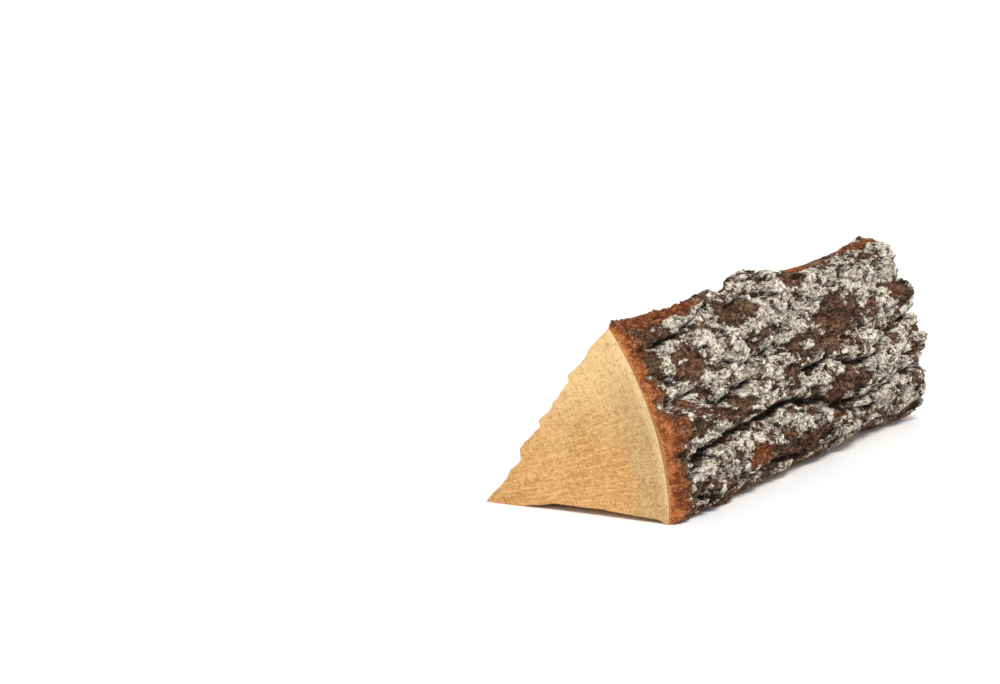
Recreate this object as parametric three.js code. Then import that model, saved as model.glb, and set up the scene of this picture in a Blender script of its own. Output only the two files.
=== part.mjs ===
// A split log: a wedge of firewood, sawn off square at both ends and split down its length,
// with its furrowed bark still on the round side. Millimetres, +Z up.
//
// The log lies along Y on its lower split face. Its split edge faces -X, the bark faces +X and the
// cut end at -Y is the front. Every section of it is drawn across from the split edge towards the
// bark, and up from the surface the log lies on. The pith is outside the wedge: the growth rings,
// and the bark round them, are arcs about it.
import * as THREE from "three";
import { ImprovedNoise } from "three/addons/math/ImprovedNoise.js";
import { toCreasedNormals } from "three/addons/utils/BufferGeometryUtils.js";

const { lerp, smoothstep, clamp } = THREE.MathUtils;

// Driving dimensions.
const LOG_LENGTH = 330; // between the two saw cuts
const PITH = new THREE.Vector2(-98, -22); // centre of the growth rings
const WOOD_RADIUS = 218; // from the pith to the underside of the bark
const SECTION_HEIGHT = 107; // from the surface to the upper corner of the wood
const BARK_THICKNESS = 12; // on the ridges
const BARK_STAND_UP = 4; // how far the bark's outside passes the upper corner of the wood
const CAMBIUM_GAP = 0.35; // between the wood and the bark

// The lower split face is flat but for a hollow that fades out behind the front end.
const HOLLOW = { depth: 4, length: 105 };

// The log's lower corner, by the bark, curves under: how far, at places [along the log, curl].
const LOWER_CORNER = {
  curl: [[0, 4], [40, 5], [64, 7], [110, 11], [182, 15], [240, 18], [276, 24], [300, 20], [330, 16]],
  reach: 11,
};

// Ledges where the upper split face steps out, at a distance up it from the split edge.
// A ledge wanders by its drift from the front of the log to the rear.
const LEDGES = [
  { at: 36, rise: 5, blend: 8, drift: 7 },
  { at: 58, rise: 3, blend: 6, drift: 11 },
  { at: 92, rise: 4, blend: 8, drift: -9 },
];

// The bark's long edges wander: each swell moves an edge up, near its place along the log.
const UPPER_EDGE_SWELLS = [
  { along: 158, lift: 4, spread: 22 },
  { along: 240, lift: -5, spread: 34 },
  { along: 330, lift: 3, spread: 30 },
];
const LOWER_EDGE_SWELLS = [
  { along: 32, lift: 2, spread: 14 },
  { along: 110, lift: 3, spread: 14 },
  { along: 182, lift: 4, spread: 22 },
  { along: 276, lift: 5, spread: 18 },
];

// Furrows in the bark, each a path of places [along the log from the front, round the bark from its foot].
const FURROWS = [
  { depth: 7, width: 8, path: [[8, 25], [45, 37], [80, 40], [130, 43], [170, 42], [205, 33], [245, 26]] },
  { depth: 5, width: 6, path: [[200, 32], [228, 30], [258, 29], [285, 33], [330, 39]] },
  { depth: 6, width: 6, path: [[48, 59], [75, 58], [108, 64], [135, 66], [160, 64], [185, 57]] },
  { depth: 6, width: 6, path: [[165, 57], [202, 60], [228, 52], [262, 53], [290, 61], [330, 69]] },
  { depth: 4, width: 6, path: [[0, 66], [25, 67], [55, 70], [95, 74], [135, 76], [160, 83], [190, 90]] },
  { depth: 5, width: 6, path: [[0, 98], [25, 100], [60, 105], [95, 111]] },
  { depth: 4, width: 6, path: [[115, 107], [150, 109], [190, 96], [215, 102], [268, 105]] },
  { depth: 5, width: 6, path: [[0, 13], [25, 8], [42, 16], [62, 17], [85, 11], [135, 11], [165, 9]] },
  { depth: 5, width: 5, path: [[185, 13], [210, 18], [240, 23]] },
  { depth: 4, width: 6, path: [[225, 88], [255, 84], [290, 94], [330, 90]] },
];

// How finely the solids are divided.
const STEPS = { along: 36, lowerFace: 7, upperFace: 18, underBark: 22, overBark: 30 };

const noise = new ImprovedNoise();
const bump = (value, centre, spread) => Math.exp(-(((value - centre) / spread) ** 2));
const swelling = (swells, along) =>
  swells.reduce((sum, swell) => sum + swell.lift * bump(along, swell.along, swell.spread), 0);

// Angles about the pith, of the wood's two corners by the bark.
const LOWER_ANGLE = Math.asin(-PITH.y / WOOD_RADIUS);
const UPPER_ANGLE = Math.asin((SECTION_HEIGHT - PITH.y) / WOOD_RADIUS);
const BARK_ROUND = (UPPER_ANGLE - LOWER_ANGLE) * WOOD_RADIUS;

const aboutPith = (radius, angle) =>
  new THREE.Vector2(Math.cos(angle), Math.sin(angle)).multiplyScalar(radius).add(PITH);

// The value at a place along a list of [place, value].
function valueAt(list, place) {
  const next = Math.max(list.findIndex(([end]) => end >= place), 1);
  const [[start, first], [end, second]] = [list[next - 1], list[next]];
  return lerp(first, second, (place - start) / (end - start));
}

// Radius of the underside of the bark, drawn in where the lower corner curves under.
function cambiumRadius(angle, along) {
  const curl = valueAt(LOWER_CORNER.curl, along);
  const fromCorner = (angle - LOWER_ANGLE) * WOOD_RADIUS;
  const sway = noise.noise(along / 90, angle * 6, 3.5) * 1.5;
  return WOOD_RADIUS - curl * Math.exp(-fromCorner / LOWER_CORNER.reach) + sway;
}

// The split edge, where the two split faces meet.
const splitEdge = (along) => new THREE.Vector2(noise.noise(along / 50, 0.4, 7.3) * 4, 0);

// A point of the lower split face: a share of the way from the split edge to the bark.
function lowerFace(share, along) {
  const corner = aboutPith(cambiumRadius(LOWER_ANGLE, along), LOWER_ANGLE);
  const arch = smoothstep(share, 0.1, 0.45) - 0.4 * smoothstep(share, 0.55, 1);
  const point = splitEdge(along).lerp(corner, share);
  point.y = HOLLOW.depth * arch * (1 - smoothstep(along, 0, HOLLOW.length));
  return point;
}

// A point of the upper split face: a share of the way from the split edge to the bark.
function upperFace(share, along) {
  const edge = splitEdge(along);
  const corner = aboutPith(cambiumRadius(UPPER_ANGLE, along), UPPER_ANGLE);
  const face = corner.clone().sub(edge);
  const up = share * face.length();
  let rise = noise.noise(along / 60, up / 14, 5.1) * 1.5 * clamp((1 - share) * 8, 0, 1);
  for (const ledge of LEDGES) {
    const at = ledge.at + (ledge.drift * along) / LOG_LENGTH + noise.noise(along / 35, ledge.at, 1.7) * 5;
    rise += ledge.rise * (smoothstep(up, at - ledge.blend / 2, at + ledge.blend / 2) - share);
  }
  const outward = new THREE.Vector2(-face.y, face.x).normalize();
  return edge.addScaledVector(face, share).addScaledVector(outward, rise * Math.min(share * 8, 1));
}

// Depth of the furrows at a place on the bark. A furrow fades out towards its ends.
function furrowDepth(along, round) {
  let depth = 0;
  for (const { path, depth: full, width } of FURROWS)
    for (let i = 1; i < path.length; i++) {
      const [along0, round0] = path[i - 1];
      const [along1, round1] = path[i];
      const share = clamp((along - along0) / (along1 - along0), 0, 1);
      const acrossIt = round - lerp(round0, round1, share);
      const pastIt = along - lerp(along0, along1, share);
      depth = Math.max(depth, full * (1 - smoothstep(Math.hypot(acrossIt, pastIt / 3), 0.5, width)));
    }
  return depth;
}

// Thickness of the bark: thinner along both edges, and where its front end is chipped.
function barkThickness(along, round) {
  const fromEdge = Math.min(round, BARK_ROUND + BARK_STAND_UP - round);
  const thinning = 4 * (1 - smoothstep(fromEdge, 0, 12)) + 3 * (1 - smoothstep(along, 0, 14));
  const plates = noise.noise(along / 30, round / 14, 2.2) * 3 + noise.noise(along / 12, round / 7, 8.6) * 1.5;
  const foot = 3 * bump(along, 64, 26) * bump(round, 22, 30);
  return BARK_THICKNESS - thinning + plates + foot - furrowDepth(along, round);
}

// Points from 0 to the number of steps, each as a share.
const shares = (steps) => Array.from({ length: steps + 1 }, (_, i) => i / steps);

// The wood's section: out along the lower face, up under the bark and back down the upper face.
function woodSection(along) {
  const lower = shares(STEPS.lowerFace).map((share) => lowerFace(share, along));
  const corner = lower.at(-1);
  const under = shares(STEPS.underBark).map((share) => {
    const angle = lerp(LOWER_ANGLE, UPPER_ANGLE, share);
    const point = aboutPith(cambiumRadius(angle, along), angle);
    return new THREE.Vector2(point.x, share ? Math.max(point.y, corner.y) : corner.y);
  });
  const upper = shares(STEPS.upperFace).map((share) => upperFace(1 - share, along));
  return [...lower.slice(0, -1), ...under, ...upper.slice(1, -1)];
}

// The bark's section: up against the wood and back down over its outside.
function barkSection(along) {
  const foot = swelling(LOWER_EDGE_SWELLS, along);
  const top = BARK_ROUND + BARK_STAND_UP + swelling(UPPER_EDGE_SWELLS, along);
  const under = shares(STEPS.underBark).map((share) => {
    const angle = lerp(LOWER_ANGLE, UPPER_ANGLE, share);
    return aboutPith(cambiumRadius(angle, along) + CAMBIUM_GAP, angle);
  });
  const over = shares(STEPS.overBark).map((share) => {
    const round = lerp(top, foot, share);
    const angle = LOWER_ANGLE + round / WOOD_RADIUS;
    const inner = cambiumRadius(Math.min(angle, UPPER_ANGLE), along);
    return aboutPith(inner + barkThickness(along, round), angle);
  });
  const outline = [...under, ...over];
  outline.forEach((point) => (point.y = Math.max(point.y, 0)));
  return outline;
}

// A solid through sections of equal point counts, spaced evenly down the log and closed by the saw cuts.
// Both pieces run up under the bark, so their faces are split alike where they meet.
function loft(sectionAt) {
  const rings = shares(STEPS.along).map((share) => sectionAt(share * LOG_LENGTH));
  const clockwise = THREE.ShapeUtils.isClockWise(rings[0]);
  const count = rings[0].length;
  const points = rings.flatMap((ring, i) =>
    ring.map(({ x, y }) => new THREE.Vector3(x, (i / STEPS.along - 0.5) * LOG_LENGTH, y)),
  );
  const faces = [];
  for (let ring = 0; ring < STEPS.along; ring++)
    for (let i = 0; i < count; i++) {
      const here = ring * count + i;
      const next = ring * count + ((i + 1) % count);
      const quad = [here, here + count, next + count, here, next + count, next];
      faces.push(...(clockwise ? quad.reverse() : quad));
    }
  const rear = STEPS.along * count;
  for (const [a, b, c] of THREE.ShapeUtils.triangulateShape(rings[0], [])) faces.push(a, b, c);
  for (const [a, b, c] of THREE.ShapeUtils.triangulateShape(rings.at(-1), []))
    faces.push(rear + a, rear + c, rear + b);
  const geometry = new THREE.BufferGeometry().setFromPoints(points).setIndex(faces);
  return toCreasedNormals(geometry, THREE.MathUtils.degToRad(40));
}

function piece(name, sectionAt, color, roughness) {
  const material = new THREE.MeshStandardMaterial({ color, roughness, metalness: 0 });
  const mesh = new THREE.Mesh(loft(sectionAt), material);
  mesh.name = name;
  return mesh;
}

const log = new THREE.Group();
log.add(piece("wood", woodSection, 0xdcae74, 0.8));
log.add(piece("bark", barkSection, 0x6f5e52, 0.95));

// The origin is the middle of the log's footprint, on the surface it lies on.
const box = new THREE.Box3().setFromObject(log);
const middle = box.getCenter(new THREE.Vector3());
log.position.set(-middle.x, -middle.y, -box.min.z);

export default log;
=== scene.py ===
import math

import bmesh
import bpy
import numpy as np
from mathutils import Matrix, Vector, noise


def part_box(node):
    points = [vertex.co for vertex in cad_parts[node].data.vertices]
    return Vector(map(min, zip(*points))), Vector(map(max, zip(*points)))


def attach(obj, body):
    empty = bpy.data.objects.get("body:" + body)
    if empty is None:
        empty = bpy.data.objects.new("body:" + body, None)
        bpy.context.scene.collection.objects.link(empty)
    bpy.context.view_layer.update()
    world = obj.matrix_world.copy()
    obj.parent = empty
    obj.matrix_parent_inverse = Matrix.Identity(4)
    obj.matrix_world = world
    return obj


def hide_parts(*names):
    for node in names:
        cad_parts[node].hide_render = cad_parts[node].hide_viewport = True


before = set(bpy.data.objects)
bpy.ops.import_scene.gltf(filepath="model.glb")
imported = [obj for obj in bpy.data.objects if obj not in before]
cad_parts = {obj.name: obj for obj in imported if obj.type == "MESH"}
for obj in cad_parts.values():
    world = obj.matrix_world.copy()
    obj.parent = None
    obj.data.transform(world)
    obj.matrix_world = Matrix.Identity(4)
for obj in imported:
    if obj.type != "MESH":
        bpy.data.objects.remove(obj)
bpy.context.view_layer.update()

# A split log lying on its lower split face. Shapes are worked out in millimetres: x across from the
# split edge to the bark, y back from the front saw cut, z up. The pith lies outside the wedge, and
# the rings and the bark are arcs about it. A place on the bark is (y, a), a being the way round it
# from its foot. Materials measure in metres, as the meshes do.
metre = 1000
millimetre = 0.001
woodLow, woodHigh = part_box("wood")
log = {
    "length": (woodHigh.y - woodLow.y) * metre,
    "splitEdgeX": woodLow.x * metre + 2,  # where the section's x starts, in the row frame
    "pith": (-98, -22),
    "woodRadius": 218,
    "upperCornerHeight": 107,
    "cornerCurl": [  # how far in the lower corner curls, along the log
        (0, 4), (40, 5), (64, 7), (110, 11), (182, 15), (240, 18), (276, 24), (300, 20), (330, 16)],
    "cornerReach": 11,  # how far up the lower corner's curl is felt
    "barkGap": 0.15,  # between the bark and the wood
    # uneven places: height, length, width, seed and octaves, or with no width along one line
    "trunkSway": (1.2, 90, 40, 3.5),
    "topWaver": (2.2, 45, 6.9),
    "topRagged": (0.6, 8, 4.2, 3),
    "topWaverStart": 16,  # how far behind the front cut the top edge's wavering is full
}
pithX, pithZ = log["pith"]
footAngle = math.asin(-pithZ / log["woodRadius"])
topAngle = math.asin((log["upperCornerHeight"] - pithZ) / log["woodRadius"])
barkRadius = 227  # the radius that ways round the bark are measured on
barkStart = math.radians(6.25)  # the angle at a = 0
weldDistance = 0.0001
thinAngle = math.radians(0.7)  # what unseen faces may differ by and still become one


def smooth(value, low, high):
    share = np.clip((value - low) / (high - low), 0, 1)
    return share * share * (3 - 2 * share)


def mix(a, b, share):
    return a * (1 - share) + b * share


def bump(value, centre, spread):
    return np.exp(-(((value - centre) / spread) ** 2))


def along(y, pairs):  # a value that is listed at some places along the log
    return np.interp(y, *zip(*pairs))


def uneven(x, y, height, sizeX, sizeY, seed, octaves=1):  # about -height to height at each place
    places = zip(x / sizeX, y / sizeY)
    if octaves == 1:
        return height * np.array([noise.noise((p, q, seed)) for p, q in places])
    fading, finer = 0.9, 2.1  # of each octave
    return height * np.array([noise.fractal((p, q, seed), fading, finer, octaves) for p, q in places])


def unevenLine(x, height, size, seed, octaves=1):  # the same along one line
    return uneven(x, x * 0, height, size, 1, seed, octaves)


def plateField(x, y, sizeX, sizeY, seed):  # how far inside its plate each place is, its value and middle
    inside, values, middleX, middleY = np.empty((4, len(x)))
    farApart = 7.3  # so that plates side by side have unlike values
    for i, (p, q) in enumerate(zip(x / sizeX, y / sizeY)):
        near, centres = noise.voronoi((p, q, seed))
        inside[i] = near[1] - near[0]
        values[i] = noise.cell(centres[0] * farApart)
        middleX[i] = centres[0].x * sizeX
        middleY[i] = centres[0].y * sizeY
    return inside, values, middleX, middleY


def aboutPith(radius, angle):
    return pithX + radius * np.cos(angle), pithZ + radius * np.sin(angle)


def cambiumRadius(angle, y):  # where the wood ends and the bark begins
    fromFoot = np.maximum((angle - footAngle) * log["woodRadius"], -4)
    curl = along(y, log["cornerCurl"]) * np.exp(-fromFoot / log["cornerReach"])
    return log["woodRadius"] - curl + uneven(y, angle * log["woodRadius"], *log["trunkSway"])


def topAngleAt(y):  # the upper split face's edge under the bark, which wavers
    sway = unevenLine(y, *log["topWaver"]) + unevenLine(y, *log["topRagged"])
    return topAngle + sway * smooth(y, 0, log["topWaverStart"]) / log["woodRadius"]


def gridBox(name, stepsX, stepsY, stepsZ):  # a box of six welded grids, and its vertices from 0 to 1
    bm = bmesh.new()
    half = 0.5
    for side in (-half, half):
        flat = Matrix.Translation((0, 0, side))
        upright = Matrix.Translation((0, side, 0)) @ Matrix.Rotation(math.pi / 2, 4, "X")
        sideways = Matrix.Translation((side, 0, 0)) @ Matrix.Rotation(math.pi / 2, 4, "Y")
        bmesh.ops.create_grid(bm, x_segments=stepsX, y_segments=stepsY, size=half, matrix=flat)
        bmesh.ops.create_grid(bm, x_segments=stepsX, y_segments=stepsZ, size=half, matrix=upright)
        bmesh.ops.create_grid(bm, x_segments=stepsZ, y_segments=stepsY, size=half, matrix=sideways)
    bmesh.ops.remove_doubles(bm, verts=bm.verts, dist=weldDistance)
    bmesh.ops.recalc_face_normals(bm, faces=bm.faces)
    mesh = bpy.data.meshes.new(name)
    bm.to_mesh(mesh)
    bm.free()
    places = np.empty(len(mesh.vertices) * 3)
    mesh.vertices.foreach_get("co", places)
    return mesh, np.round(places.reshape(-1, 3) + half, 5)


def placeVertices(mesh, x, y, z):  # from the section's millimetres to the row frame's metres
    aboveFloor = np.maximum(z, 0)
    places = np.column_stack([x + log["splitEdgeX"], y - log["length"] / 2, aboveFloor]) * millimetre
    mesh.vertices.foreach_set("co", places.ravel())


def storeAttribute(mesh, name, values):
    mesh.attributes.new(name, "FLOAT", "POINT").data.foreach_set("value", values.astype(np.float32))


def thinOut(mesh, hidden):  # fewer faces where the wood and the bark meet
    bm = bmesh.new()
    bm.from_mesh(mesh)
    unseen = {f for f in bm.faces if all(hidden[v.index] for v in f.verts)}
    edges = [e for e in bm.edges if all(f in unseen for f in e.link_faces)]
    verts = [v for v in bm.verts if all(f in unseen for f in v.link_faces)]
    bmesh.ops.dissolve_limit(bm, angle_limit=thinAngle, verts=verts, edges=edges)
    bmesh.ops.recalc_face_normals(bm, faces=bm.faces)
    bm.to_mesh(mesh)
    bm.free()


def addPiece(mesh, nodeName, materials):
    piece = bpy.data.objects.new(mesh.name, mesh)
    bpy.context.scene.collection.objects.link(piece)
    for material in materials:
        mesh.materials.append(material)
    mesh.polygons.foreach_set("use_smooth", [True] * len(mesh.polygons))
    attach(piece, "root")
    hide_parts(nodeName)


def paint(red, green, blue):  # a colour in everyday 0 to 255 values
    channels = [c / 255 for c in (red, green, blue)]
    return (*[c / 12.92 if c <= 0.04045 else ((c + 0.055) / 1.055) ** 2.4 for c in channels], 1)


def addNode(tree, kind, inputs, **settings):  # an input is a plain value, or a socket to link
    made = tree.nodes.new(kind)
    for key, value in settings.items():
        setattr(made, key, value)
    for key, value in inputs.items():
        if isinstance(value, bpy.types.NodeSocket):
            tree.links.new(value, made.inputs[key])
        else:
            made.inputs[key].default_value = value
    return made


def maths(tree, operation, first, second=0.0):
    return addNode(tree, "ShaderNodeMath", {0: first, 1: second}, operation=operation).outputs[0]


def plus(tree, first, second):
    return maths(tree, "ADD", first, second)


def minus(tree, first, second):
    return maths(tree, "SUBTRACT", first, second)


def times(tree, first, second):
    return maths(tree, "MULTIPLY", first, second)


def vectorMaths(tree, operation, inputs):
    return addNode(tree, "ShaderNodeVectorMath", inputs, operation=operation).outputs[0]


def ramp(tree, value, low, high):
    made = addNode(tree, "ShaderNodeMapRange", {"Value": value, "From Min": low, "From Max": high},
                   interpolation_type="SMOOTHSTEP")
    return made.outputs[0]


def blend(tree, share, first, second):
    return addNode(tree, "ShaderNodeMix", {0: share, 6: first, 7: second}, data_type="RGBA").outputs[2]


def baseColor(tree, pattern, first, second, low, high):  # one colour, and another as a pattern rises
    return blend(tree, ramp(tree, pattern, low, high), paint(*first), paint(*second))


def cover(tree, color, share, wanted, strength):  # lays a colour over another where share says
    return blend(tree, times(tree, share, strength), color, paint(*wanted))


def tint(tree, color, pattern, wanted, strength, low, high):  # the same, from low to high in a pattern
    return cover(tree, color, ramp(tree, pattern, low, high), wanted, strength)


def texNoise(tree, coords, scale, detail, roughness):
    inputs = {"Vector": coords, "Scale": scale, "Detail": detail, "Roughness": roughness}
    return addNode(tree, "ShaderNodeTexNoise", inputs).outputs[0]


def drawnNoise(tree, coords, shrink, scale, detail, roughness):  # small numbers in shrink draw it out
    return texNoise(tree, stretch(tree, coords, shrink), scale, detail, roughness)


def texCells(tree, coords, scale):  # a value for each cell
    cells = addNode(tree, "ShaderNodeTexVoronoi", {"Vector": coords, "Scale": scale})
    return addNode(tree, "ShaderNodeSeparateColor", {0: cells.outputs["Color"]}).outputs[0]


def stretch(tree, coords, scale):
    return addNode(tree, "ShaderNodeMapping", {"Vector": coords, "Scale": scale}).outputs[0]


def combine(tree, x, y, z=0.0):
    return addNode(tree, "ShaderNodeCombineXYZ", {0: x, 1: y, 2: z}).outputs[0]


def separate(tree, vector):
    return addNode(tree, "ShaderNodeSeparateXYZ", {0: vector}).outputs


def attribute(tree, name):
    return addNode(tree, "ShaderNodeAttribute", {}, attribute_name=name).outputs["Fac"]


def newGroup(name, numbers, outputs):  # a group that is given coordinates and these numbers
    group = bpy.data.node_groups.new(name, "ShaderNodeTree")
    group.interface.new_socket("Vector", in_out="INPUT", socket_type="NodeSocketVector")
    for key, value in numbers.items():
        socket = group.interface.new_socket(key, in_out="INPUT", socket_type="NodeSocketFloat")
        socket.default_value = value
    for key in outputs:
        group.interface.new_socket(key, in_out="OUTPUT", socket_type="NodeSocketFloat")
    return group, group.nodes.new("NodeGroupInput").outputs, group.nodes.new("NodeGroupOutput").inputs


def useGroup(tree, group, coords, values):
    return addNode(tree, "ShaderNodeGroup", {"Vector": coords, **values}, node_tree=group).outputs


def makeSpeckle():  # crisp grains of uneven size, and the darkest of them as pores
    swayReach = 2.2  # how far a grain is pulled out of shape
    largeScale = 0.43
    smallShare, largeShare = 0.6, 0.4
    poreLevel, poreEdge = 0.6, 0.04
    group, given, result = newGroup("speckle", {"Scale": 900.0, "Amount": 0.5}, ["Mask", "Grain"])
    vector, scale = given["Vector"], given["Scale"]
    swayNoise = addNode(group, "ShaderNodeTexNoise", {"Vector": vector, "Scale": scale, "Detail": 2.0})
    sway = vectorMaths(group, "SUBTRACT", {0: swayNoise.outputs["Color"], 1: (0.5, 0.5, 0.5)})
    shift = vectorMaths(group, "SCALE", {0: sway, "Scale": maths(group, "DIVIDE", swayReach, scale)})
    swayed = vectorMaths(group, "ADD", {0: vector, 1: shift})
    small = texCells(group, swayed, scale)
    large = texCells(group, swayed, times(group, scale, largeScale))
    grain = plus(group, times(group, small, smallShare), times(group, large, largeShare))
    edge = times(group, given["Amount"], poreLevel)
    rest = ramp(group, grain, minus(group, edge, poreEdge), edge)
    group.links.new(minus(group, 1.0, rest), result["Mask"])
    group.links.new(grain, result["Grain"])
    return group


def makeFibres():  # fine streaks and broad ones down the log
    group, given, result = newGroup("fibres", {"Scale": 500.0}, ["Streaks", "Broad"])
    broadScale = times(group, given["Scale"], 0.2)
    streaks = drawnNoise(group, given["Vector"], (1, 0.016, 1), given["Scale"], 3, 0.6)
    broad = drawnNoise(group, given["Vector"], (1, 0.03, 1), broadScale, 4, 0.55)
    group.links.new(streaks, result["Streaks"])
    group.links.new(broad, result["Broad"])
    return group


def newMaterial(name):
    material = bpy.data.materials.new(name)
    material.use_nodes = True
    tree = material.node_tree
    tree.nodes.clear()
    out = tree.nodes.new("ShaderNodeOutputMaterial")
    shader = tree.nodes.new("ShaderNodeBsdfPrincipled")
    shader.inputs["Specular IOR Level"].default_value = 0.25
    tree.links.new(shader.outputs[0], out.inputs[0])
    coords = tree.nodes.new("ShaderNodeTexCoord").outputs["Object"]
    return material, tree, shader.inputs, coords


def finishMaterial(tree, shader, color, roughness, height, depth):
    tree.links.new(color, shader["Base Color"])
    tree.links.new(roughness, shader["Roughness"])
    relief = addNode(tree, "ShaderNodeBump", {"Height": height, "Distance": depth, "Strength": 1.0})
    tree.links.new(relief.outputs[0], shader["Normal"])


def ringCoords(tree, coords):  # distance from the pith, angle about it, and the way along the log
    pith = Vector((log["splitEdgeX"] + pithX, 0, pithZ)) * millimetre
    x, y, z = separate(tree, vectorMaths(tree, "SUBTRACT", {0: coords, 1: pith}))
    radius = maths(tree, "SQRT", plus(tree, times(tree, x, x), times(tree, z, z)))
    return radius, maths(tree, "ARCTAN2", z, x), y


speckle = makeSpeckle()
fibres = makeFibres()
print("patterns made")

wood = {
    "steps": (108, 170, 108),  # across, along the log, up
    "halfway": 0.45,  # where on the upper split face the section's third corner is
    "width": 116,  # of the lower split face, about
    "hollowDepth": 4,  # in the lower split face, near the front
    "hollowLength": 105,
    "ledges": [  # place up the upper split face, rise, blend and drift
        (37.5, 4.6, 6, 7), (58.5, 2.6, 2.5, 11), (92, 3.4, 5, -9), (74, 1.2, 1.6, -4), (112, 0.8, 2, 5),
        (22, 1.3, 1.8, 4)],
    "sliverWidth": 6.5,
    "sliverDepth": 1.7,
    "sliverEnd": 0.78,  # how far across a sliver its steep edge starts
    "tornDepth": 0.9,
    "tornPart": (0.28, 0.36),  # where the torn places' pattern starts and is full
    "sawDepth": 0.2,  # how far in the two saw cuts lie
    # uneven places: height, length, width, seed and octaves, or with no width along one line
    "edgeWave": (2.2, 50, 7.3),
    "edgeRagged": (0.7, 9, 2.1, 3),
    "lowerFibre": (0.6, 140, 2.4, 4.2, 2),
    "lowerSwell": (0.8, 80, 9, 9.2),
    "upperSwell": (1.4, 120, 16, 5.1, 2),
    "sliverBend": (3.2, 130, 16, 8.8, 2),
    "sliverUneven": (1, 60, 4.9),
    "fibre": (0.7, 150, 2.6, 6.4, 2),
    "fineFibre": (0.3, 70, 1.5, 1.4),
    "torn": (1, 30, 4, 2.8, 2),
    "tornFibre": (1, 60, 1.3, 3.3),
    "sawMark": (0.12, 22, 1.8, 2.7, 2),
    "sawGrit": (0.08, 1.3, 1.3, 5.9),
    # patterns: scale, detail and roughness, after the shrinking of those that are drawn out
    # colours: the colour, its strength, and where in a pattern it starts and is full
    "endGrain": {
        "clouds": (26, 4, 0.6),
        "rays": ((14, 70, 3), 3.0, 5, 0.65),
        "fineRays": ((40, 260, 3), 3.0, 3, 0.6),
        "rings": ((260, 1.6, 3), 1.0, 4, 0.65),
        "sawMarks": ((1, 1, 9), 60, 2, 0.5),
        "dots": {"Scale": 1450.0, "Amount": 0.4},
        "poreScale": 1050,
        "base": ((190, 136, 74), (208, 157, 98), 0.32, 0.68),
        "ring": ((166, 114, 62), 0.3, 0.52, 0.7),
        "ray": ((228, 185, 127), 0.8, 0.51, 0.62),
        "fineRay": ((228, 185, 127), 0.6, 0.5, 0.64),
        "top": ((242, 207, 150), 0.75, 0.045, 0.105),
        "sapwood": ((184, 155, 109), 0.75),
        "sapwoodFrom": (0.198, 0.216),
        "sapwoodTop": 0.1,
        "youngest": ((244, 218, 170), 0.45, 0.214, 0.2185),
        "paleGrain": ((246, 212, 158), 0.3, 0.5, 0.8),
        "darkGrain": ((158, 106, 56), 0.22, 0.5, 0.2),
        "pore": ((134, 88, 46), 0.4, 0.09, 0.04),
        "dullness": (-0.6, 0.5),
        "relief": 0.0004,
    },
    "splitGrain": {
        "rings": (150, 3, 0.6),
        "threads": ((1, 0.012, 1), 950, 2, 0.6),
        "patches": ((1, 0.25, 1), 24, 3, 0.6),
        "fibres": {"Scale": 620.0},
        "dots": {"Scale": 820.0, "Amount": 0.4},
        "base": ((196, 146, 88), (226, 180, 120), 0.36, 0.64),
        "ring": ((176, 120, 66), 0.5, 0.48, 0.7),
        "streak": ((242, 204, 148), 0.6, 0.42, 0.72),
        "pore": ((136, 86, 46), 0.4),
        "thread": ((150, 98, 52), 0.5, 0.56, 0.66),
        "patch": ((236, 196, 138), 0.4, 0.5, 0.68),
        "sapwood": ((214, 178, 130), 0.5, 0.204, 0.216),
        # the colour of the painted shade in the hollows and inside corners
        "hollow": ((108, 66, 36), 0.8),
        "dullness": (-0.8, 0.6),
        "relief": 0.0009,
    },
}


def makeEndGrain():  # sawn across: rings, rays and open pores
    look = wood["endGrain"]
    material, tree, shader, coords = newMaterial("end grain")
    radius, angle, lengthways = ringCoords(tree, coords)
    height = separate(tree, coords)[2]
    polar = combine(tree, radius, angle, lengthways)
    clouds = texNoise(tree, coords, *look["clouds"])
    rays = drawnNoise(tree, polar, *look["rays"])
    fineRays = drawnNoise(tree, polar, *look["fineRays"])
    rings = drawnNoise(tree, polar, *look["rings"])
    dots = useGroup(tree, speckle, coords, look["dots"])
    pores = texCells(tree, stretch(tree, coords, (1, 0.1, 1)), look["poreScale"])
    sawMarks = drawnNoise(tree, coords, *look["sawMarks"])

    color = baseColor(tree, clouds, *look["base"])
    color = tint(tree, color, rings, *look["ring"])
    color = tint(tree, color, rays, *look["ray"])
    color = tint(tree, color, fineRays, *look["fineRay"])
    # paler towards the top of the end face
    cloudyHeight = plus(tree, height, times(tree, clouds, 0.03))
    color = tint(tree, color, cloudyHeight, *look["top"])
    cloudyRadius = plus(tree, radius, times(tree, clouds, 0.02))
    nearBark = ramp(tree, cloudyRadius, *look["sapwoodFrom"])
    lowDown = ramp(tree, minus(tree, look["sapwoodTop"], height), 0.0, 0.05)
    color = cover(tree, color, times(tree, nearBark, lowDown), *look["sapwood"])
    wavyRadius = plus(tree, radius, times(tree, clouds, 0.004))
    color = tint(tree, color, wavyRadius, *look["youngest"])
    color = tint(tree, color, dots["Grain"], *look["paleGrain"])
    color = tint(tree, color, dots["Grain"], *look["darkGrain"])
    color = tint(tree, color, pores, *look["pore"])

    level = minus(tree, times(tree, sawMarks, 0.5), times(tree, dots["Mask"], 0.2))
    level = plus(tree, level, times(tree, rays, 0.3))
    dull = ramp(tree, clouds, *look["dullness"])
    finishMaterial(tree, shader, color, dull, level, look["relief"])
    return material


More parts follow.
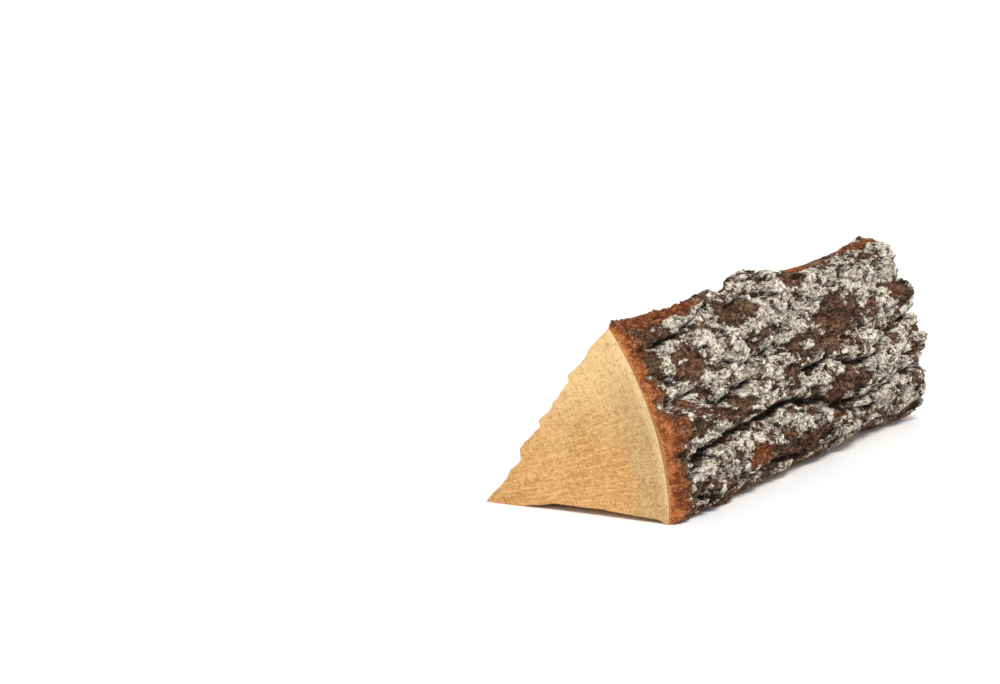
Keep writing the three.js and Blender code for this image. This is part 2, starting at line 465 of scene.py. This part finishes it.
def makeSplitGrain():  # split along: long fibres, with painted shade in the hollows and inside corners
    look = wood["splitGrain"]
    material, tree, shader, coords = newMaterial("split grain")
    radius, _, lengthways = ringCoords(tree, coords)
    long = useGroup(tree, fibres, coords, look["fibres"])
    dots = useGroup(tree, speckle, stretch(tree, coords, (1, 0.07, 1)), look["dots"])
    rings = texNoise(tree, combine(tree, radius, times(tree, lengthways, 0.02)), *look["rings"])
    threads = drawnNoise(tree, coords, *look["threads"])
    patches = drawnNoise(tree, coords, *look["patches"])

    color = baseColor(tree, long["Broad"], *look["base"])
    color = tint(tree, color, rings, *look["ring"])
    color = tint(tree, color, long["Streaks"], *look["streak"])
    color = cover(tree, color, dots["Mask"], *look["pore"])
    color = tint(tree, color, threads, *look["thread"])
    color = tint(tree, color, patches, *look["patch"])
    color = tint(tree, color, radius, *look["sapwood"])
    # painted shade in the hollows and in the ledges' inside corners
    color = cover(tree, color, attribute(tree, "hollow"), *look["hollow"])

    level = minus(tree, long["Streaks"], times(tree, threads, 0.6))
    dull = ramp(tree, long["Broad"], *look["dullness"])
    finishMaterial(tree, shader, color, dull, level, look["relief"])
    return material


def splitEdge(y):  # how far the wedge's thin edge wanders
    return unevenLine(y, *wood["edgeWave"]) + unevenLine(y, *wood["edgeRagged"])


def straightSection(u, w, y):  # the section with flat split faces, and the line of the upper one
    startX = splitEdge(y)
    footX, footZ = aboutPith(cambiumRadius(footAngle + y * 0, y), footAngle)
    top = topAngleAt(y)
    endX, endZ = aboutPith(cambiumRadius(top, y), top)
    halfX, halfZ = mix(startX, endX, wood["halfway"]), endZ * wood["halfway"]
    angle = mix(footAngle, top, w)
    roundX, roundZ = aboutPith(cambiumRadius(angle, y), angle)
    x = mix(mix(startX, footX, u), mix(halfX, endX, u), w) + u * (roundX - mix(footX, endX, w))
    z = mix(footZ * u, mix(halfZ, endZ, u), w) + u * (roundZ - mix(footZ, endZ, w))
    return x, z, startX, endX - startX, endZ


def lowerRise(across, y):  # how far the lower split face lies off the ground
    share = across / wood["width"]
    arch = smooth(share, 0.1, 0.45) - 0.4 * smooth(share, 0.55, 1)
    rise = wood["hollowDepth"] * arch * (1 - smooth(y, 0, wood["hollowLength"]))
    grain = uneven(y, across, *wood["lowerFibre"]) + uneven(y, across, *wood["lowerSwell"])
    offEdge = np.clip(share * 12, 0, 1)
    return rise + np.maximum(grain, 0) * offEdge


def ledgeRise(up, share, y):  # the ledges up the upper split face, and how much shade to paint in their inside corners
    total = uneven(y, up, *wood["upperSwell"])
    cornerShade = np.zeros(len(y))
    cornerWidth, deepRise = 1.3, 2.5
    for at, rise, blendWidth, drift in wood["ledges"]:
        place = at + drift * y / log["length"]
        place = place + unevenLine(y, 3.5, 45, at) + unevenLine(y, 0.8, 11, at + 1, 2)
        fade = mix(1, 0.65 + unevenLine(y, 0.7, 80, at + 5), smooth(y, 10, 50))
        start = place - blendWidth / 2
        total = total + rise * fade * (smooth(up, start, place + blendWidth / 2) - share)
        shade = np.clip(rise * fade / deepRise, 0, 1)
        cornerShade = np.maximum(cornerShade, bump(up, start, cornerWidth) * shade)
    return total, cornerShade


def fibreRise(up, y):  # long slivers, each a step over the next, with torn fibres on them
    layers = up / wood["sliverWidth"] + uneven(y, up, *wood["sliverBend"])
    within = layers - np.floor(layers)
    farApart = 9.7  # so that slivers side by side are unlike
    sliver = 0.5 + unevenLine(np.floor(layers) * farApart + y, *wood["sliverUneven"])
    rise = wood["sliverDepth"] * sliver * (smooth(within, wood["sliverEnd"], 1.0) - within)
    rise = rise + uneven(y, up, *wood["fibre"]) + uneven(y, up, *wood["fineFibre"])
    torn = smooth(uneven(y, up, *wood["torn"]), *wood["tornPart"])
    rise = rise + wood["tornDepth"] * torn * (1 - 0.5 * np.abs(uneven(y, up, *wood["tornFibre"])))
    fromCut = np.minimum(y, log["length"] - y)
    return rise * (0.3 + 0.7 * smooth(fromCut, 0.5, 9))  # quieter by the saw cuts


def upperRise(up, length, y):  # how far the upper split face stands out, and how much shade to paint in its hollows and inside corners
    share = up / length
    ledges, cornerShade = ledgeRise(up, share, y)
    fibre = fibreRise(up, y)
    offEdge = np.clip(share * 9, 0, 1)
    return (ledges + fibre) * offEdge, np.maximum(smooth(-fibre, 0.5, 1.5), 0.9 * cornerShade)


def markSawCuts(mesh):  # end grain on the faces that look along the log at its two ends
    normals, middles = np.empty((2, len(mesh.polygons) * 3))
    mesh.polygons.foreach_get("normal", normals)
    mesh.polygons.foreach_get("center", middles)
    leastFacing, endDepth = 0.6, 0.8
    facing = np.abs(normals.reshape(-1, 3)[:, 1]) > leastFacing
    atEnd = np.abs(middles.reshape(-1, 3)[:, 1]) > (log["length"] / 2 - endDepth) / metre
    mesh.polygons.foreach_set("material_index", (facing & atEnd).astype(int))


def makeWood():
    mesh, unit = gridBox("log_wood", *wood["steps"])
    u, v, w = unit.T
    y = v * log["length"]
    x, z, startX, chordX, chordZ = straightSection(u, w, y)
    length = np.hypot(chordX, chordZ)
    up = ((x - startX) * chordX + z * chordZ) / length
    depth = ((x - startX) * chordZ - z * chordX) / length
    # dark: how much shade to paint in the hollows and inside corners
    rise, dark = upperRise(up, length, y)
    lowerReach, upperReach = 14, 18  # how deep into the wood the faces' relief is felt
    low = lowerRise(x - startX, y) * np.exp(-z / lowerReach) * np.clip((1 - u) * 20, 0, 1)
    rise = rise * np.exp(-depth / upperReach) * np.clip((1 - u) * 14, 0, 1)
    x, z = x - rise * chordZ / length, z + rise * chordX / length + low
    inner = np.minimum.reduce([u, 1 - u, w, 1 - w])
    sawn = uneven(x, z, *wood["sawMark"]) + uneven(x, z, *wood["sawGrit"])
    inwards = np.where(v == 0, 1, -1) * (wood["sawDepth"] + sawn) * np.minimum(inner * 30, 1)
    y = np.where((v == 0) | (v == 1), y + inwards, y)
    placeVertices(mesh, x, y, z)
    # the painted shade, on the upper split face only
    storeAttribute(mesh, "hollow", np.where((w == 1) | (u == 0), dark, 0))
    thinOut(mesh, u == 1)
    addPiece(mesh, "wood", [makeSplitGrain(), makeEndGrain()])
    markSawCuts(mesh)


makeWood()
print("wood made")

bark = {
    "steps": (9, 440, 172),  # through it, along the log, round it
    "thickness": [  # for the front, the middle and the rear of the log: (a, thickness)
        [(0, 13), (10, 12), (21, 14), (34, 12), (42, 15), (50, 18), (58, 15), (65, 10), (77, 10),
         (85, 10.5), (95, 11), (104, 12.5), (115, 11), (121, 9)],
        [(0, 9), (12, 12), (25, 14), (35, 13), (50, 15), (65, 15), (80, 14), (95, 14), (110, 13.5),
         (121, 11)],
        [(0, 9), (13, 10), (26, 14), (34, 13), (43, 16), (50, 18), (61, 17), (70, 15), (76, 18), (86, 17),
         (100, 18), (110, 17), (121, 12)],
    ],
    "topEdge": [  # its height along the log
        (0, 113), (23, 111), (44, 110), (73, 109.6), (96, 111.5), (111, 110.4), (130, 109), (145, 114.6),
        (169, 115.7), (193, 109.5), (225, 106.6), (254, 106), (292, 110), (314, 113.4), (330, 114)],
    "footHeight": [
        (0, 2), (20, 1.5), (32, 4), (45, 2), (64, 0.5), (85, 2), (103, 4), (123, 1.5), (150, 3), (171, 4),
        (200, 2), (224, 2), (240, 2), (262, 6), (276, 7), (288, 3), (300, 2), (319, 3), (330, 3)],
    "furrows": [  # depth, width and path (y, a)
        (8, 7, [(6, 23), (25, 32), (42, 36.5), (70, 38.5), (85, 40), (125, 42), (140, 44), (165, 41.5),
                (190, 36), (200, 32), (220, 31)]),
        (5, 5, [(220, 31), (255, 29), (280, 33), (300, 36), (332, 38.5)]),
        (5, 5, [(200, 32), (220, 25), (245, 22.5), (262, 24)]),
        (3, 3, [(262, 21), (285, 26), (297, 29)]),
        (7, 6, [(57, 57), (85, 60), (108, 64)]),
        (7, 6, [(173, 57), (197, 59), (205, 60), (220, 55), (245, 50), (264, 52)]),
        (5, 5, [(256, 56), (272, 58), (310, 65), (332, 69)]),
        (5, 5, [(-2, 65.5), (20, 66), (45, 68.5)]),
        (6, 5, [(53, 59), (59, 60)]),
        (4, 5, [(120, 74), (150, 78), (182, 89)]),
        (5, 5, [(5, 99), (30, 100), (60, 103), (80, 109), (97, 112)]),
        (4, 5, [(122, 107), (143, 110), (165, 108)]),
        (4, 4, [(184, 95), (200, 99), (212, 104)]),
        (4, 4, [(240, 99), (268, 104), (273, 110)]),
        (3, 5, [(285, 94), (305, 93), (332, 90)]),
        (5, 5, [(-2, 12), (15, 13), (28, 9), (35, 6)]),
        (4, 4, [(48, 16), (66, 18), (77, 24)]),
        (6, 5, [(75, 10), (100, 12), (130, 12), (152, 10.5)]),
        (4, 4, [(193, 15), (216, 18)]),
        (3, 3, [(37, 43), (53, 50)]),
        (2.5, 3, [(2, 114), (40, 114), (80, 115)]),
    ],
    "scales": [  # brown places with no lichen: (y, a, half length, half width)
        (47, 84, 19, 11), (24, 105, 26, 6), (7, 90, 9, 7), (31, 50, 15, 8), (82, 50, 19, 6),
        (26, 16, 13, 6), (152, 16, 44, 8), (120, 102, 21, 8), (115, 79, 5, 9), (140, 85, 11, 4),
        (152, 57, 13, 6), (200, 71, 42, 9), (233, 79, 30, 15), (225, 41, 28, 8), (204, 25, 15, 5),
        (200, 110, 11, 6), (276, 78, 7, 7), (316, 82, 16, 8), (312, 46, 9, 5), (316, 25, 9, 6)],
    "freshPlaces": [  # where scales broke off, the same way
        (44, 116, 50, 7), (6, 50, 9, 10), (2, 15, 6, 18), (2, 76, 7, 7), (96, 19, 15, 6),
        (225, 115, 16, 3), (308, 118, 24, 4)],
    # plates of two sizes: length and width, seed, how uneven, how deep the cracks round them are, and
    # how far inside a plate its crack's floor ends and its flat top starts
    "plate": {"size": (19, 7.5), "seed": 2.4, "uneven": 2.2, "crack": 2.0, "cracked": (0.01, 0.1)},
    "smallPlate": {"size": (6.5, 4.0), "seed": 9.7, "uneven": 0.9, "crack": 0.8, "cracked": (0.01, 0.13)},
    "ridgeRise": 1.6,  # of what lies between furrows
    "ridgeFrom": 9,  # how far from a furrow it has risen fully
    "layerStep": 1.15,  # between one broken layer and the next
    "layerWall": (0.8, 0.95),  # where in a layer its steep wall starts and ends
    "wallFootShade": (0.78, 0.09),  # where in it the line of painted shade at the wall's foot is, and its spread
    "splitDepth": 1.9,
    "splitWidth": 0.075,
    "freshDepth": 2.2,
    "scaleDepth": 0.9,
    "lichenDepth": 0.35,
    "leastThickness": 2.2,
    "edgeThin": 3.5,  # how much thinner the bark is along its top and its foot
    "edgeWidth": 7,  # of those thin strips
    "topRaise": 2,  # added to the heights of its top edge
    "footThickness": 7,  # about, to place its foot's edge
    "chip": 3.2,  # how far its outside is worn back at the front end
    "leastChip": 0.3,
    "chipReach": 14,  # how far along the log that is felt
    # uneven places, as for the wood
    "topRagged": (1.4, 6, 3.3, 3),
    "footRagged": (0.8, 7, 8.3, 3),
    "ragged": (1, 16, 10, 1.1, 2),
    "bentAlong": (2.5, 5, 4, 6.6, 2),
    "bentRound": (2.2, 15, 9, 8.1, 2),
    "finelyBentRound": (1.5, 4.5, 2.6, 4.4, 2),
    "furrowUneven": (0.35, 22, 12, 3.9),
    "split": (1, 34, 5.2, 7.7, 2),
    "splitPart": (1, 17, 7, 6.1),
    "layers": (2.6, 14, 8, 5.5, 3),
    "wallFootShadePart": (1, 19, 11, 9.4),
    "rough": (0.4, 7, 4.5, 7.2, 3),
    "grit": (0.18, 2.2, 1.7, 1.9, 2),
    "darkPart": (1, 24, 14, 5.7),
    "lichenUneven": (0.62, 11, 8, 2.9, 3),
    "endFibre": (1, 1.5, 1.2, 2.2, 3),
    "edgeRough": (1, 4, 3, 9.2, 3),
    "chipUneven": (2.6, 9, 4.7, 3),
    # how much shade is painted in each kind of low place, and how much lichen there is
    "lowShade": {
        "furrow": 0.9, "crack": 0.85, "smallCrack": 0.6, "split": 0.9, "scaleRim": 0.3, "wallFootShade": 0.65},
    "lichen": {
        "most": 0.98, "bySmallPlate": 0.35, "byPlate": 0.3, "lessOnScales": 0.8, "lessOnFresh": 1.3,
        "lessInShade": 0.25},
    # colours and patterns, as for the wood
    "scaleColors": {
        "base": ((62, 42, 26), (130, 99, 74), 0.36, 0.64),
        "red": ((126, 70, 46), 0.65, 0.48, 0.62),
        "fleck": ((168, 131, 102), 0.6, 0.5, 0.66),
        "pit": ((36, 23, 16), 0.65, 0.5, 0.36),
    },
    "freshColors": {
        "base": ((182, 104, 54), (128, 67, 36), 0.25, 0.8),
        "patch": ((122, 63, 35), 0.7, 0.5, 0.66),
        "fleck": ((222, 152, 98), 0.5, 0.5, 0.7),
        "pit": ((76, 36, 18), 0.5, 0.5, 0.34),
        "byWood": ((222, 166, 108), 0.6),
        "byWoodEnd": (0.06, 0.2),
    },
    "lichenColors": {
        "dark": (140, 122, 96),
        "pale": ((255, 244, 227), (249, 242, 220), 0.42, 0.58),
        "brightness": (0.27, 0.61),
        "pit": ((74, 56, 40), 0.75),
        "grip": (0.37, 0.53),
    },
    "furrowedBark": {
        "fine": {"Scale": 700.0, "Amount": 0.35},
        "tiny": {"Scale": 1150.0, "Amount": 0.3},
        "clouds": (60, 4, 0.6),
        "patches": (190, 5, 0.7),
        "scalePore": ((118, 96, 76), 0.75),
        # the colour of the painted shade in the furrows and other low places
        "furrow": (36, 26, 17),
        "dullness": (-0.9, 0.5),
        "relief": 0.0007,
    },
}


def makeScaleColor(tree, clouds, patches, flecks):
    look = bark["scaleColors"]
    color = baseColor(tree, patches, *look["base"])
    color = tint(tree, color, clouds, *look["red"])
    color = tint(tree, color, flecks, *look["fleck"])
    return tint(tree, color, flecks, *look["pit"])


def makeFreshColor(tree, clouds, patches, flecks):  # orange by the wood, redder further out
    look = bark["freshColors"]
    outward = attribute(tree, "outward")
    cloudyOutward = plus(tree, outward, times(tree, minus(tree, clouds, 0.5), 2.2))
    color = baseColor(tree, cloudyOutward, *look["base"])
    color = tint(tree, color, patches, *look["patch"])
    color = tint(tree, color, flecks, *look["fleck"])
    color = tint(tree, color, flecks, *look["pit"])
    byWood = minus(tree, 1.0, ramp(tree, outward, *look["byWoodEnd"]))
    return cover(tree, color, byWood, *look["byWood"])


def makeLichenColor(tree, clouds, patches, fine, tiny):
    look = bark["lichenColors"]
    bright = plus(tree, times(tree, tiny["Grain"], 0.7), times(tree, patches, 0.3))
    pale = baseColor(tree, clouds, *look["pale"])
    color = blend(tree, ramp(tree, bright, *look["brightness"]), paint(*look["dark"]), pale)
    return cover(tree, color, fine["Mask"], *look["pit"])


def makeBarkMaterial():  # brown scales, fresh bark where they broke off, a pale crust of lichen, and painted shade in the low places
    look = bark["furrowedBark"]
    material, tree, shader, coords = newMaterial("furrowed bark")
    fine = useGroup(tree, speckle, coords, look["fine"])
    tiny = useGroup(tree, speckle, coords, look["tiny"])
    clouds = texNoise(tree, coords, *look["clouds"])
    patches = texNoise(tree, coords, *look["patches"])
    flecks = times(tree, plus(tree, fine["Grain"], tiny["Grain"]), 0.5)
    fresh = attribute(tree, "fresh")
    scaleColor = makeScaleColor(tree, clouds, patches, flecks)
    color = blend(tree, fresh, scaleColor, makeFreshColor(tree, clouds, patches, flecks))
    grip = attribute(tree, "lichen")  # how well the lichen holds
    for pattern, strength in ((fine["Grain"], 0.6), (tiny["Grain"], 0.55), (patches, 0.9)):
        grip = plus(tree, grip, times(tree, minus(tree, pattern, 0.5), strength))
    crust = ramp(tree, grip, *bark["lichenColors"]["grip"])
    pores = times(tree, ramp(tree, grip, 0.05, 0.35), minus(tree, 1.0, fresh))
    color = cover(tree, color, pores, *look["scalePore"])
    color = blend(tree, crust, color, makeLichenColor(tree, clouds, patches, fine, tiny))
    # painted shade, darkest in the furrows, also in the cracks, the splits and round the scales
    color = blend(tree, attribute(tree, "furrow"), color, paint(*look["furrow"]))

    level = plus(tree, times(tree, fine["Grain"], 0.8), times(tree, tiny["Grain"], 0.8))
    level = plus(tree, level, times(tree, crust, 0.3))
    dull = ramp(tree, patches, *look["dullness"])
    finishMaterial(tree, shader, color, dull, level, look["relief"])
    return material


def furrowField(y, a):  # how deep in a furrow each place is, and how far from the nearest one
    far = 99.0
    steep, gentle, drawn = 1.7, 0.8, 0.55  # the wall over a furrow, the one under it and its ends
    depth = np.zeros(len(y))
    nearest = np.full(len(y), far)
    for full, width, path in bark["furrows"]:
        distance = np.full(len(y), far)
        for (y0, a0), (y1, a1) in zip(path, path[1:]):
            dy, da = y1 - y0, a1 - a0
            share = np.clip(((y - y0) * dy + (a - a0) * da) / (dy ** 2 + da ** 2), 0, 1)
            above = a - mix(a0, a1, share)
            above = above * np.where(above > 0, steep, gentle)
            distance = np.minimum(distance, np.hypot(above, (y - mix(y0, y1, share)) * drawn))
        valley = 1 - smooth(distance, 0.1 * width, 0.8 * width)
        slit = 1 - smooth(distance, 0.3, 1.6)
        depth = np.maximum(depth, full * (0.65 * valley + 0.35 * slit))
        nearest = np.minimum(nearest, distance)
    return depth, nearest


def patchField(places, y, a):  # 1 inside the listed patches and 0 outside
    covered = np.zeros(len(y))
    for middleY, middleA, halfLength, halfWidth in places:
        away = np.hypot((y - middleY) / halfLength, (a - middleA) / halfWidth)
        covered = np.maximum(covered, 1 - smooth(away, 0.75, 1.1))
    return covered


def plainThickness(y, a):
    front, middle, rear = [np.interp(a, *zip(*profile)) for profile in bark["thickness"]]
    half = log["length"] / 2
    return mix(mix(front, middle, smooth(y, 0, half)), rear, smooth(y, half, 2 * half))


def barkSurface(y, a):  # thickness, what covers it, and the shade painted in its low places
    plate, smallPlate = bark["plate"], bark["smallPlate"]
    ragged = uneven(y, a, *bark["ragged"])
    warpedY = y + 4 * ragged + uneven(y, a, *bark["bentAlong"])
    warpedA = a + uneven(y, a, *bark["bentRound"]) + uneven(y, a, *bark["finelyBentRound"])

    # what was broken off, and what kept its scales, partly in whole small plates
    shift = 3  # so that plates of the two sizes don't line up
    scalesLoose, freshLoose = 0.25, 0.5  # how far their outlines leave those of the small plates
    inside, value, _, _ = plateField(warpedY, warpedA, *plate["size"], plate["seed"])
    small = plateField(warpedY + shift, warpedA, *smallPlate["size"], smallPlate["seed"])
    insideSmall, valueSmall, smallY, smallA = small
    looseY, looseA = mix(smallY - shift, warpedY, scalesLoose), mix(smallA, warpedA, scalesLoose)
    scales = patchField(bark["scales"], looseY, looseA)
    looseY, looseA = mix(smallY - shift, warpedY, freshLoose), mix(smallA, warpedA, freshLoose)
    fresh = patchField(bark["freshPlaces"], looseY, looseA)
    scattered = smooth(valueSmall, 0.80, 0.84) * 0.9
    scales = np.maximum(scales, scattered) * (1 - fresh)
    relief = 1 - 0.6 * fresh  # lower where the bark is fresh

    # furrows, shallower at the front end, between ridges that stand a little higher
    depth, nearest = furrowField(warpedY, warpedA)
    depth = depth * (1 + uneven(y, a, *bark["furrowUneven"])) * (0.3 + 0.7 * smooth(y, 4, 30))
    ridge = bark["ridgeRise"]
    height = plainThickness(y, a) + ridge * smooth(nearest, 0, bark["ridgeFrom"]) - ridge - depth

    # plates with cracks round them, and splits across them
    height += (value - 0.5) * plate["uneven"] * relief
    crack = 1 - smooth(inside, *plate["cracked"])
    height -= plate["crack"] * crack * (1 - 0.7 * fresh)
    crackSmall = 1 - smooth(insideSmall, *smallPlate["cracked"])
    height += (valueSmall - 0.5) * smallPlate["uneven"] - smallPlate["crack"] * crackSmall
    splits = 1 - smooth(np.abs(uneven(warpedY, warpedA, *bark["split"])), 0.0, bark["splitWidth"])
    splits *= smooth(uneven(y, a, *bark["splitPart"]), -0.15, 0.1)
    height -= bark["splitDepth"] * splits * (1 - fresh)

    # layers that end in steep little walls
    steps = uneven(warpedY, warpedA, *bark["layers"])
    within = steps - np.floor(steps)
    height += (np.floor(steps) + smooth(within, *bark["layerWall"])) * bark["layerStep"] * relief
    # a line of painted shade at the foot of each little wall, in parts
    wallFootShade = bump(within, *bark["wallFootShade"]) * smooth(uneven(y, a, *bark["wallFootShadePart"]), -0.25, 0.1)
    height -= bark["scaleDepth"] * scales + bark["freshDepth"] * fresh
    height += uneven(y, a, *bark["rough"]) + uneven(y, a, *bark["grit"])

    # painted shade in the low places: furrows, cracks between plates, splits, round the brown scales and
    # at the foot of the little walls
    lowShade = bark["lowShade"]
    rim = 4 * scales * (1 - scales)
    dark = lowShade["furrow"] * smooth(depth, 2.4, 5.2)
    dark += lowShade["crack"] * crack * smooth(value, 0.1, 0.5)
    dark += lowShade["smallCrack"] * crackSmall * smooth(uneven(y, a, *bark["darkPart"]), -0.2, 0.2)
    dark += lowShade["split"] * splits
    dark += lowShade["scaleRim"] * rim
    dark = np.clip(dark + lowShade["wallFootShade"] * wallFootShade, 0, 1)

    # lichen, thin by the front end and by the foot
    lichen = bark["lichen"]
    grown = lichen["most"] + uneven(y, a, *bark["lichenUneven"])
    grown = grown + lichen["bySmallPlate"] * (valueSmall - 0.5) + lichen["byPlate"] * (value - 0.5)
    grown = grown * (0.45 + 0.55 * smooth(y + 6 * ragged, 6, 20)) * (0.45 + 0.55 * smooth(a, 4, 17))
    grown = grown - lichen["lessOnScales"] * scales - lichen["lessOnFresh"] * fresh
    # less lichen where shade is painted, which darkens those places further
    grown = grown - lichen["lessInShade"] * dark
    height += np.clip(grown, 0, 1) * bark["lichenDepth"]
    return height, grown, fresh, dark * relief


def wayRound(height, radius):  # the place round the bark that is this high
    return (np.arcsin((height - pithZ) / radius) - barkStart) * barkRadius


def rimFresh(y, u, w):  # how fresh the bark's edges are: the ends, parts of the top, little of the foot
    top = np.maximum.reduce([1 - smooth(y, 78, 88), bump(y, 225, 18), smooth(y, 278, 290)])
    edge = np.where(w == 1, 0.15 + 0.85 * top, np.where(w == 0, 0.1, 1))
    return np.where(u == 1, 0, 1 - smooth(u, 0.7, 1)) * edge


def makeBark():
    mesh, unit = gridBox("log_bark", *bark["steps"])
    u, v, w = unit.T
    y = v * log["length"]
    topHeight = along(y, bark["topEdge"]) + bark["topRaise"] + unevenLine(y, *bark["topRagged"])
    footHeight = along(y, bark["footHeight"]) + unevenLine(y, *bark["footRagged"])
    topPlace = wayRound(topHeight, barkRadius)
    footPlace = wayRound(footHeight, cambiumRadius(footAngle + y * 0, y) + bark["footThickness"])
    a = mix(footPlace, topPlace, w)
    height, lichen, fresh, dark = barkSurface(y, a)
    fromEdge = np.minimum(a - footPlace, topPlace - a)
    edgeThin = bark["edgeThin"] * (1 - smooth(fromEdge, 0, bark["edgeWidth"]))
    height = np.maximum(height - edgeThin, bark["leastThickness"])
    outerAngle = barkStart + a / barkRadius
    innerAngle = mix(footAngle, topAngleAt(y), w)
    outer = cambiumRadius(outerAngle, y) + height
    inner = cambiumRadius(innerAngle, y) + log["barkGap"]

    # fibres and chips on the ends and edges
    onRim = (u > 0) & (u < 1)
    fibrous = uneven(u * 10 + y, w * 130, *bark["endFibre"]) * np.where(onRim, 1, 0)
    rough = uneven(y, u * 12, *bark["edgeRough"]) * np.where(w == 1, 1.6, 0.4) * u * (1 - u) * 4
    angle = mix(innerAngle, outerAngle, u) + (0.36 * fibrous + rough) / barkRadius
    x, z = aboutPith(mix(inner, outer, u), angle)
    chip = np.maximum(bark["chip"] + unevenLine(a, *bark["chipUneven"]), bark["leastChip"])
    chip = chip * u ** 1.5 + fibrous * 0.5
    length, reach = log["length"], bark["chipReach"]
    y = y + chip * (1 - smooth(y, 0, reach)) - 0.4 * chip * smooth(y, length - reach, length)
    y = np.clip(y, 0, length)

    placeVertices(mesh, x, y, z)
    inShell = u < 0.95  # everything but the outside
    storeAttribute(mesh, "lichen", np.where(inShell, -0.4, lichen))
    storeAttribute(mesh, "fresh", np.clip(np.maximum(fresh, rimFresh(y, u, w)), 0, 1))
    # how much shade to paint on the outside, none on the rest of the bark
    storeAttribute(mesh, "furrow", np.where(inShell, 0, dark))
    storeAttribute(mesh, "outward", u)
    thinOut(mesh, u == 0)
    addPiece(mesh, "bark", [makeBarkMaterial()])


makeBark()
print("bark made")

# camera, light and floor
view = {
    "azimuth": 29.94,
    "elevation": 10.5,
    "distance": 2.37075,
    "lens": 144,
    "aim": (-0.12034, -0.05213, 0.06846),  # the log lies to the right of it
    "farthest": 50,
}
studio = {
    "lights": {  # where each shines from, its strength and how wide its source looks, in degrees
        "key": ((0.45, -0.40, 0.80), 2.35, 18),
        "fill": ((0.5, -0.75, 0.12), 0.42, 60),
    },
    "worldStrength": 0.52,
    "floorSize": 30,
    "wallRadius": 9,
    "wallHeight": 8,
}
white = (1, 1, 1, 1)


def lookFrom(thing, direction):  # turns what stands in that direction to look back the other way
    thing.rotation_euler = (-direction).to_track_quat("-Z", "Y").to_euler()
    bpy.context.scene.collection.objects.link(thing)


def makeStage(name, bm, settings):  # a floor or a backdrop, with one plain material
    mesh = bpy.data.meshes.new(name)
    bm.to_mesh(mesh)
    bm.free()
    material = bpy.data.materials.new(name)
    material.use_nodes = True
    for key, value in settings.items():
        material.node_tree.nodes["Principled BSDF"].inputs[key].default_value = value
    mesh.materials.append(material)
    thing = bpy.data.objects.new(name, mesh)
    bpy.context.scene.collection.objects.link(thing)
    return thing


azimuth, elevation = math.radians(view["azimuth"]), math.radians(view["elevation"])
ahead, sideways = -math.cos(azimuth) * math.cos(elevation), math.sin(azimuth) * math.cos(elevation)
back = Vector((sideways, ahead, math.sin(elevation)))
camera = bpy.data.objects.new("camera", bpy.data.cameras.new("camera"))
camera.data.lens = view["lens"]
camera.data.clip_end = view["farthest"]
camera.location = Vector(view["aim"]) + back * view["distance"]
lookFrom(camera, back)
bpy.context.scene.camera = camera

for name, (place, strength, width) in studio["lights"].items():
    lamp = bpy.data.objects.new(name, bpy.data.lights.new(name, "SUN"))
    lamp.data.energy = strength
    lamp.data.angle = math.radians(width)
    lamp.location = place
    lookFrom(lamp, Vector(place))

world = bpy.data.worlds.new("studio")
world.use_nodes = True
world.node_tree.nodes["Background"].inputs["Color"].default_value = white
world.node_tree.nodes["Background"].inputs["Strength"].default_value = studio["worldStrength"]
bpy.context.scene.world = world
bpy.context.scene.view_settings.view_transform = "Standard"

ground = bmesh.new()
bmesh.ops.create_grid(ground, x_segments=1, y_segments=1, size=studio["floorSize"])
floor = makeStage("floor", ground, {"Base Color": white, "Roughness": 0.9})

wall = bmesh.new()  # all round, to see behind the log and not to light it
radius = studio["wallRadius"]
bmesh.ops.create_cone(wall, segments=64, radius1=radius, radius2=radius, depth=studio["wallHeight"])
backdrop = makeStage("backdrop", wall, {"Emission Color": white, "Emission Strength": 1.0})
backdrop.visible_shadow = False
backdrop.visible_diffuse = False
backdrop.visible_glossy = False
backdrop.visible_transmission = False
print("scene made")
